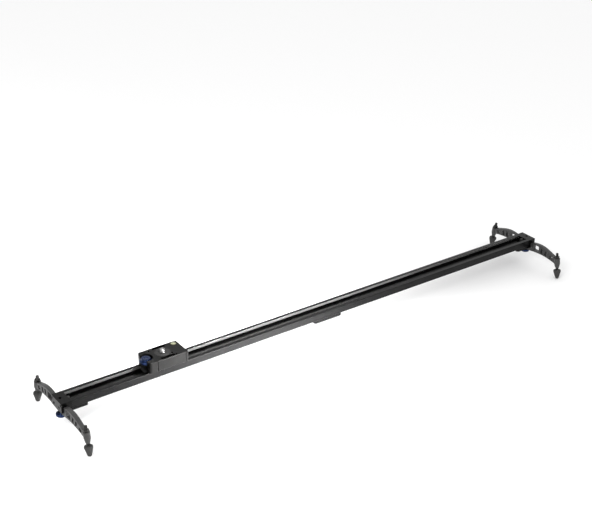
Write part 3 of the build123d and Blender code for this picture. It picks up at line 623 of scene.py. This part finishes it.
axle_finish = ground_steel("bright_axle_steel", (0.62, 0.62, 0.61), 0.24, 1200.0, (1, 1, 1))
axle_low, axle_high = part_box("roller_axles")
axle_head = 0.0034
axle_radius = 0.0025
axle_shank = 0.0020
axle_head_height = 0.0018
around_axle = 72
bearing_bore = axle_radius + 0.00005
inner_ring = 0.0033
shield_in = 0.0034
shield_out = 0.0045
outer_ring = 0.0046
shield_sink = 0.0002
bore_round = 0.0002
rim_round = 0.0003
axle_grids = []
for long_side in ("front", "rear"):
    for end_name in ("left", "right"):
        roller_low, roller_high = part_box(f"roller_{long_side}_{end_name}")
        roller_x = (roller_low.x + roller_high.x) / 2
        roller_y = (roller_low.y + roller_high.y) / 2
        roller_radius = (roller_high.x - roller_low.x) / 2
        low, high = roller_low.z, roller_high.z
        middle = (low + high) / 2
        roller_profile = [
            (bearing_bore, low + bore_round), (0.0027, low), (inner_ring, low),
            (shield_in, low + shield_sink), (shield_out, low + shield_sink), (outer_ring, low),
            (roller_radius - rim_round, low), (roller_radius, low + rim_round), (roller_radius, middle),
            (roller_radius, high - rim_round), (roller_radius - rim_round, high), (outer_ring, high),
            (shield_out, high - shield_sink), (shield_in, high - shield_sink), (inner_ring, high),
            (0.0027, high), (bearing_bore, high - bore_round), (bearing_bore, low + bore_round),
        ]
        suffix = f"{long_side}_{end_name}"
        bearing = ground_steel(f"bearing_steel_{suffix}", (0.66, 0.66, 0.65), 0.2, 1400.0, (1, 1, 0.1))
        bearing_grid = stood(turned(roller_profile, 72), (roller_x, roller_y, 0), (0, 0, 1))
        add_piece(f"ball_bearing_{suffix}", [bearing_grid], bearing, f"roller_{suffix}", "bearing_steel",
                  f"roller_{suffix}")
        deep = axle_low.z + 0.0012
        hex_face = hexagon(around_axle)
        axle_rows = [
            (0.0001, deep, 1), (0.0016, deep, hex_face), (0.0016, axle_low.z + 0.0001, hex_face),
            (0.0017, axle_low.z, 1), (axle_head - 0.0003, axle_low.z, 1), (axle_head, axle_low.z + 0.0003, 1),
            (axle_head, axle_low.z + axle_head_height, 1), (axle_radius, axle_low.z + axle_head_height, 1),
            (axle_radius, high, 1), (axle_shank, high + 0.0002, 1), (axle_shank, axle_high.z - 0.0004, 1),
            (axle_shank * 0.7, axle_high.z, 1),
        ]
        axle_factor = np.stack([np.broadcast_to(row[2], around_axle) for row in axle_rows])
        axle_grid = turned([row[:2] for row in axle_rows], around_axle, axle_factor)
        axle_grids.append(stood(axle_grid, (roller_x, roller_y, 0), (0, 0, 1)))
add_piece("roller_axle_screws", axle_grids, axle_finish, "carriage", "bright_steel", "roller_axles")

# ------------------------------------------------------------------ carriage
# The carriage is a milled block between two end caps, blasted and dyed a dark grey. Socket screws hold
# the caps on.
carriage_finish = black_anodised("carriage_finish", (0.013, 0.013, 0.013), (0.027, 0.0265, 0.026),
                                 rough=0.32, stretch=(0.3, 1, 1))
carriage_edges = {"carriage_body": 0.00035, "carriage_cap_left": 0.0003, "carriage_cap_right": 0.0003}
for node, width in carriage_edges.items():
    softened(node, width, carriage_finish, "carriage", f"finished_{node}")
cap_screw_low, cap_screw_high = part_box("carriage_cap_screws")
cap_head_height = 0.0026
cap_screw_length = 0.0150
cap_screw_y = 0.0176
cap_screw_z = 0.0715
cap_screw = socket_screw(block_head, cap_head_height, socket_share * block_head, block_shank,
                         cap_screw_length)
cap_seats = ((cap_screw_low.x + cap_head_height, -1), (cap_screw_high.x - cap_head_height, 1))
add_piece("carriage_socket_screws",
          [stood(cap_screw, (x, y, cap_screw_z), (end, 0, 0)) for x, end in cap_seats
           for y in (-cap_screw_y, cap_screw_y)],
          black_screw, "carriage", "black_screw_steel", "carriage_cap_screws")

# ------------------------------------------------------------------ camera pad and camera screw
# A rubber ring is let into the carriage's top for the camera to sit on. A bright steel 3/8 inch screw
# stands in its middle.
pad_low, pad_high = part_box("camera_pad")
pad_x = (pad_low.x + pad_high.x) / 2
pad_radius = (pad_high.x - pad_low.x) / 2
pad_hole = 0.0056
pad_rubber = rubber("pad_rubber", (0.007, 0.007, 0.007), (0.020, 0.0195, 0.019), 0.70, 2400.0)
groove_count = 5
ring_steps = np.linspace(0, 1, groove_count * 8 + 1)
ring_radius = pad_hole + 0.0008 + (pad_radius - pad_hole - 0.0018) * ring_steps
ring_height = pad_high.z - 0.00028 * np.sin(groove_count * math.pi * ring_steps) ** 8
pad_profile = [(pad_hole, pad_low.z), (pad_radius, pad_low.z), (pad_radius, pad_high.z - 0.0004),
               (pad_radius - 0.0001, pad_high.z - 0.0001), (pad_radius - 0.0004, pad_high.z)]
pad_profile += list(zip(ring_radius[::-1], ring_height[::-1]))
pad_profile += [(pad_hole + 0.0003, pad_high.z), (pad_hole, pad_high.z - 0.0003), (pad_hole, pad_low.z)]
add_piece("ribbed_camera_pad", [stood(turned(pad_profile, 96), (pad_x, 0, 0), (0, 0, 1))], pad_rubber,
          "carriage", "pad_rubber", "camera_pad")

camera_screw_low, camera_screw_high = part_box("camera_screw")
camera_thread_radius = (camera_screw_high.x - camera_screw_low.x) / 2
camera_thread_pitch = 0.0015875
camera_thread_depth = 0.00080
camera_root = 0.0046
screw_grid = thread(camera_thread_radius, camera_thread_depth, camera_thread_pitch, pad_high.z - 0.0004,
                    camera_screw_high.z, around=72, rows_per_pitch=12, lead=0.0013)
root_rows = turned([(camera_root - 0.0006, camera_screw_low.z), (camera_root, camera_screw_low.z + 0.0006),
                    (camera_root, pad_high.z - 0.0006)], 72)
rim_height = camera_screw_high.z - 0.0002
dimple_height = camera_screw_high.z - 0.0008
dimple_rows = turned([(camera_thread_radius - 0.0022, rim_height),
                      (camera_thread_radius - 0.0030, rim_height),
                      (camera_thread_radius - 0.0034, dimple_height), (0.0002, dimple_height)], 72)
camera_steel = ground_steel("bright_camera_screw", (0.30, 0.30, 0.30), 0.26, 1000.0, (1, 1, 1))
camera_grid = np.concatenate([root_rows, screw_grid, dimple_rows])
add_piece("camera_thread", [stood(camera_grid, (pad_x, 0, 0), (0, 0, 1))], camera_steel, "carriage",
          "bright_steel", "camera_screw", crease=50)

# ------------------------------------------------------------------ bubble level
# A round spirit level is pressed into the carriage: an olive plastic cup, a clear yellow-green vial with a
# printed ring, and a bubble under its crown.
cup_low, cup_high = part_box("level_housing")
level_x = (cup_low.x + cup_high.x) / 2
level_y = (cup_low.y + cup_high.y) / 2
level_place = (level_x, level_y, 0)
cup_radius = (cup_high.x - cup_low.x) / 2
cup_wall = 0.0012
cup = Finish("olive_level_plastic", Specular_IOR_Level=0.5)
cup_grain = cup.grain(900.0, 3.0)
cup.feed(
    Base_Color=cup.colours(cup_grain + 0.5, (0.026, 0.025, 0.010), (0.050, 0.048, 0.020)),
    Roughness=cup_grain * 0.2 + 0.35,
)
cup_inner = cup_radius - cup_wall
cup_profile = [(cup_inner, cup_low.z), (cup_radius, cup_low.z), (cup_radius, cup_high.z - 0.0004),
               (cup_radius - 0.00012, cup_high.z - 0.00012), (cup_radius - 0.0004, cup_high.z),
               (cup_inner + 0.0002, cup_high.z), (cup_inner, cup_high.z - 0.0002), (cup_inner, cup_low.z)]
add_piece("olive_level_cup", [stood(turned(cup_profile, 72), level_place, (0, 0, 1))], cup.material,
          "carriage", "level_housing_plastic", "level_housing")
vial_low, vial_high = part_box("level_vial")
vial_radius = (vial_high.x - vial_low.x) / 2 - 0.00005
spirit = Finish("yellow_green_spirit", Transmission_Weight=0.25, IOR=1.45, Coat_Weight=1.0,
                Coat_Roughness=0.03)
spirit_depth = spirit.grain(160.0, 3.0)
spirit.feed(
    Base_Color=spirit.colours(spirit_depth * 1.2 + 0.5, (0.16, 0.17, 0.10), (0.25, 0.26, 0.17)),
    Roughness=spirit_depth * 0.06 + 0.10,
)
crown = np.linspace(0, math.pi / 2, 13)
crown_height = 0.0009
vial_profile = [(vial_radius - 0.0003, vial_low.z), (vial_radius, vial_low.z + 0.0003)]
vial_profile += [(vial_radius * math.cos(a) + 0.0001, vial_high.z - crown_height * (1 - math.sin(a)))
                 for a in crown]
add_piece("spirit_vial", [stood(turned(vial_profile, 64), level_place, (0, 0, 1))], spirit.material,
          "carriage", "level_vial_acrylic", "level_vial")


def crown_at(radius):
    """The vial crown's height at a distance from its middle: a quarter ellipse."""
    return vial_high.z - crown_height * (1 - math.sqrt(max(0.0, 1 - (radius / vial_radius) ** 2)))


ring_ink = Finish("black_ring_ink", Roughness=0.3)
ink_grain = ring_ink.grain(2000.0, 2.0)
ring_ink.feed(Base_Color=ring_ink.colours(ink_grain + 0.5, (0.008, 0.008, 0.008), (0.022, 0.022, 0.020)))
ring_out = 0.0024
ring_in = 0.0021
ink_lift = 0.00004
ring_profile = [(ring_out, crown_at(ring_out) - ink_lift), (ring_out, crown_at(ring_out) + ink_lift),
                (ring_in, crown_at(ring_in) + ink_lift), (ring_in, crown_at(ring_in) - ink_lift),
                (ring_out, crown_at(ring_out) - ink_lift)]
add_piece("level_ring", [stood(turned(ring_profile, 64), level_place, (0, 0, 1))],
          ring_ink.material, "carriage", "level_vial_acrylic")
bubble = Finish("air_bubble", Coat_Weight=1.0, Coat_Roughness=0.02)
bubble_sheen = bubble.grain(500.0, 2.0)
bubble.feed(Base_Color=bubble.colours(bubble_sheen + 0.5, (0.34, 0.36, 0.26), (0.46, 0.48, 0.38)),
            Roughness=bubble_sheen * 0.05 + 0.08)
bubble_radius = 0.0013
bubble_arc = np.linspace(0, math.pi / 2, 8)
bubble_profile = [(bubble_radius * math.cos(a) + 0.00002, vial_high.z - 0.00022 + 0.0002 * math.sin(a))
                  for a in bubble_arc]
bubble_place = (level_x + 0.0003, level_y - 0.0002, 0)
add_piece("level_bubble", [stood(turned(bubble_profile, 40), bubble_place, (0, 0, 1))], bubble.material,
          "carriage", "level_vial_acrylic")

# ------------------------------------------------------------------ drag knob, its screw and brake shoe
# The blue knob at the carriage's left end turns a screw that presses an acetal shoe on the channel's
# floor. It is turned from bar like the leg knobs, with a bevel at each rim.
drag_low, drag_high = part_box("drag_knob")
drag_x = (drag_low.x + drag_high.x) / 2
drag_radius = (drag_high.x - drag_low.x) / 2
drag_flange = 0.0814
drag_hub = 0.0092
drag_cap = drag_hub - (drag_high.z - drag_flange) * math.tan(math.radians(6))
drag_flutes = 30
drag_factor = fluted(around_grip, drag_flutes, 0.034)
drag_part = fluted(around_grip, drag_flutes, 0.017)
drag_rows = [
    (m6_radius + 0.0001, drag_low.z + pressed_depth, 1), (m6_radius + 0.0001, drag_low.z, 1),
    (drag_radius - 0.0014, drag_low.z, 1), (drag_radius - 0.0010, drag_low.z + 0.0001, 1),
    (drag_radius - 0.0003, drag_low.z + 0.0007, drag_part), (drag_radius, drag_low.z + 0.0011, drag_factor),
    (drag_radius, drag_flange - 0.0014, drag_factor), (drag_radius - 0.0003, drag_flange - 0.0010, drag_part),
    (drag_radius - 0.0013, drag_flange - 0.0001, 1), (drag_radius - 0.0016, drag_flange, 1),
    (drag_hub + 0.0004, drag_flange, 1), (drag_hub, drag_flange + 0.0003, 1),
    (drag_cap + 0.0001, drag_high.z - 0.0007, 1), (drag_cap - 0.0002, drag_high.z - 0.0002, 1),
    (drag_cap - 0.0007, drag_high.z, 1), (0.0045, drag_high.z, 1), (0.0041, drag_high.z - 0.0003, 1),
    (0.0020, drag_high.z - 0.0004, 1), (0.0002, drag_high.z - 0.0004, 1),
]
drag_shape_factor = np.stack([np.broadcast_to(row[2], around_grip) for row in drag_rows])
drag_grid = turned([row[:2] for row in drag_rows], around_grip, drag_shape_factor)
drag_blue = blue_anodised("blue_drag_knob", (drag_x, 0))
add_piece("fluted_drag_knob", [stood(drag_grid, (drag_x, 0, 0), (0, 0, 1))], drag_blue, "drag_knob",
          "blue_anodised", "drag_knob")
drag_screw_low, drag_screw_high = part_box("drag_screw")
drag_thread = thread(m6_radius, m6_depth, m6_pitch, drag_screw_low.z, drag_screw_high.z)
add_piece("threaded_drag_screw", [stood(drag_thread, (drag_x, 0, 0), (0, 0, 1))], black_screw, "drag_knob",
          "black_screw_steel", "drag_screw")
shoe_low, shoe_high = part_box("brake_shoe")
shoe_radius = (shoe_high.x - shoe_low.x) / 2
shoe_profile = [(shoe_radius - 0.0003, shoe_low.z), (shoe_radius, shoe_low.z + 0.0003),
                (shoe_radius, shoe_high.z - 0.0003), (shoe_radius - 0.0003, shoe_high.z)]
add_piece("acetal_brake_shoe", [stood(turned(shoe_profile, 48), (drag_x, 0, 0), (0, 0, 1))], acetal.material,
          "brake_shoe", "guide_polymer", "brake_shoe")

# ------------------------------------------------------------------ floor, lights and camera
# The slider stands on a plain white floor. A softbox lights it from the left, a low one from the front, and
# a small one brightens the floor before the rail, which the rail's dark side mirrors.
floor_reach = 7.0
floor_mesh = bpy.data.meshes.new("floor")
floor_mesh.from_pydata([(-floor_reach, -floor_reach, 0), (floor_reach, -floor_reach, 0),
                        (floor_reach, floor_reach, 0), (-floor_reach, floor_reach, 0)], [], [(0, 1, 2, 3)])
floor = bpy.data.objects.new("floor", floor_mesh)
bpy.context.scene.collection.objects.link(floor)
floor_finish = Finish("pale_floor", Base_Color=(0.96, 0.96, 0.96, 1), Roughness=0.9, Specular_IOR_Level=0.1)
floor_mesh.materials.append(floor_finish.material)

world = bpy.data.worlds.new("studio")
world.use_nodes = True
world.node_tree.nodes["Background"].inputs["Color"].default_value = (1, 1, 1, 1)
world.node_tree.nodes["Background"].inputs["Strength"].default_value = 0.96
bpy.context.scene.world = world
bpy.context.scene.view_settings.view_transform = "Standard"


def soft_light(name, place, aim, width, height, power, spread=180):
    """A rectangular softbox at place, turned to face aim."""
    lamp = bpy.data.lights.new(name, "AREA")
    lamp.shape = "RECTANGLE"
    lamp.size = width
    lamp.size_y = height
    lamp.energy = power
    lamp.spread = math.radians(spread)
    box = bpy.data.objects.new(name, lamp)
    bpy.context.scene.collection.objects.link(box)
    box.location = place
    direction = np.array(aim, float) - np.array(place, float)
    across = math.hypot(direction[0], direction[1])
    box.rotation_euler = (math.atan2(across, -direction[2]), 0, math.atan2(-direction[0], direction[1]))


soft_light("left_key", (-1.5, -0.9, 1.5), (-0.3, 0, 0.05), width=1.0, height=0.8, power=22)
soft_light("floor_pool", (-0.16, -0.45, 0.85), (-0.16, -0.12, 0.0), width=0.2, height=0.2, power=4, spread=42)
soft_light("low_front", (0.30, -1.10, 0.36), (-0.15, 0, 0.06), width=0.4, height=0.2, power=3.2, spread=45)

azimuth = math.radians(-35.939)
elevation = math.radians(27.784)
roll = math.radians(0.827)
camera_data = bpy.data.cameras.new("camera")
camera_data.sensor_width = 36
camera_data.lens = 71.59
camera_data.shift_x = 0.0279
camera_data.shift_y = 0.0275
camera_data.clip_start = 0.01
camera = bpy.data.objects.new("camera", camera_data)
bpy.context.scene.collection.objects.link(camera)
camera.location = (-1.2948, -1.6344, 1.2319)
camera.rotation_euler = (Matrix.Rotation(azimuth, 3, "Z") @ Matrix.Rotation(math.pi / 2 - elevation, 3, "X")
                         @ Matrix.Rotation(roll, 3, "Z")).to_euler()
bpy.context.scene.camera = camera
